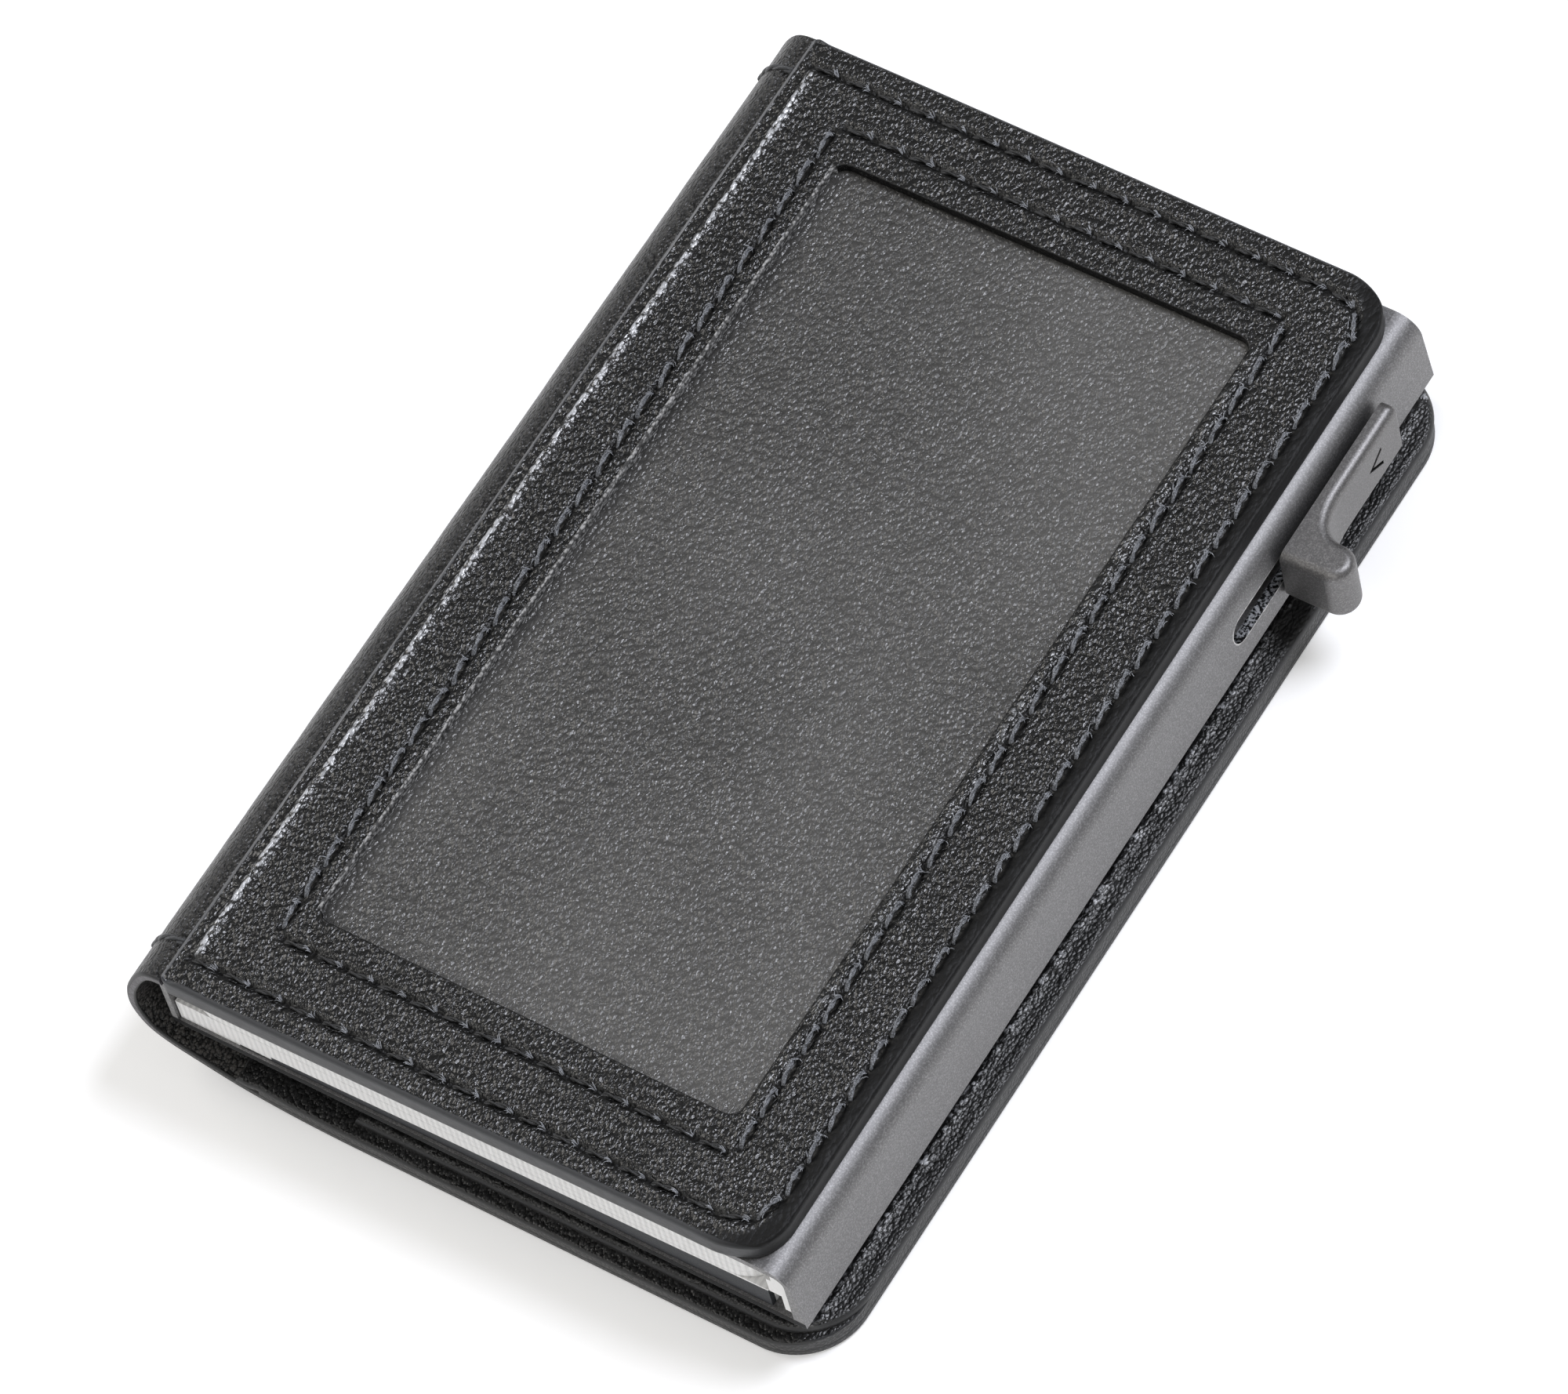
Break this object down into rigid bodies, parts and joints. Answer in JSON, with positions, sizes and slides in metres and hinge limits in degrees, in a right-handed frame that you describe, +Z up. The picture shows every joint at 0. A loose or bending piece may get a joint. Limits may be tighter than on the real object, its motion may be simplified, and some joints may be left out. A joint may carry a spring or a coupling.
{
  "type": "leather card wallet",
  "caption": "Slim leather-covered aluminium card case: a side thumb lever pushes the cards out of the mouth in a stepped fan, and the cover opens like a book.",
  "frame": {"origin": "under the middle of the closed wallet, on the outer face of the back cover, which it lies on", "axes": "+X from the spine to the thumb-lever side, +Y from the card mouth to the closed end, +Z up through the front panel with its window"},
  "size_m": [0.0675, 0.097, 0.015],
  "materials": {
    "black_leather": "fine pebble grain, semi-matt",
    "spine_leather": "finer grain, matt",
    "lining_leather": "fine grain, matt",
    "window_leather": "fine grain under clear film",
    "leather_board": "bonded leather fibre",
    "clear_film": "clear, glossy",
    "black_thread": "twisted polyester",
    "adhesive": "transfer tape",
    "gunmetal_aluminium": "bead blasted and anodised",
    "gunmetal_lever": "bead blasted, dark",
    "grey_plastic": "moulded",
    "white_plastic": "ribbed, white",
    "white_card": "blank white card",
    "black_felt": "thin felt",
    "black_trim": "woven strip",
    "spring_steel": "bright strip"
  },
  "bodies": {
    "back_cover": {"back_leather": "black_leather", "back_board": "leather_board", "back_lining": "lining_leather", "pocket_panel": "lining_leather", "pocket_thread": "black_thread", "back_thread": "black_thread"},
    "spine": {"spine_leather": "spine_leather"},
    "card_case": {"case_sleeve": "gunmetal_aluminium", "end_cap": "gunmetal_aluminium", "base_pad": "black_felt", "card_bed": "white_plastic", "mouth_trim": "black_trim", "side_rail": "white_plastic", "card_brake": "spring_steel", "detent_spring": "spring_steel", "adhesive_sheet": "adhesive", "front_base": "lining_leather", "front_filler": "leather_board", "window_backing": "window_leather", "window_film": "clear_film", "front_leather": "black_leather", "window_thread": "black_thread", "edge_thread": "black_thread", "spine_shoulder": "spine_leather"},
    "slider": {"pusher": "grey_plastic", "thumb_lever": "gunmetal_lever", "lever_rivets": "spring_steel"},
    "card_1": {"card_1": "white_card"},
    "card_2": {"card_2": "white_card"},
    "card_3": {"card_3": "white_card"},
    "card_4": {"card_4": "white_card"}
  },
  "joints": [
    {"name": "lower_fold", "type": "hinge", "parent": "back_cover", "child": "spine", "pos_m": [-0.0314, 0, 0.0035], "axis": [0, -1, 0], "range_deg": [0, 90]},
    {"name": "upper_fold", "type": "hinge", "parent": "spine", "child": "card_case", "pos_m": [-0.0314, 0, 0.0115], "axis": [0, -1, 0], "range_deg": [0, 90]},
    {"name": "lever_slide", "type": "slide", "parent": "card_case", "child": "slider", "axis": [0, -1, 0], "range_m": [0, 0.0195]},
    {"name": "card_1_slide", "type": "slide", "parent": "card_case", "child": "card_1", "axis": [0, -1, 0], "range_m": [0, 0.0195]},
    {"name": "card_2_slide", "type": "slide", "parent": "card_case", "child": "card_2", "axis": [0, -1, 0], "range_m": [0, 0.01755]},
    {"name": "card_3_slide", "type": "slide", "parent": "card_case", "child": "card_3", "axis": [0, -1, 0], "range_m": [0, 0.0156]},
    {"name": "card_4_slide", "type": "slide", "parent": "card_case", "child": "card_4", "axis": [0, -1, 0], "range_m": [0, 0.01365]}
  ],
  "couplings": [
    {"joint": "upper_fold", "follows": "lower_fold", "ratio": 1},
    {"joint": "card_1_slide", "follows": "lever_slide", "ratio": 1},
    {"joint": "card_2_slide", "follows": "lever_slide", "ratio": 0.9},
    {"joint": "card_3_slide", "follows": "lever_slide", "ratio": 0.8},
    {"joint": "card_4_slide", "follows": "lever_slide", "ratio": 0.7}
  ]
}
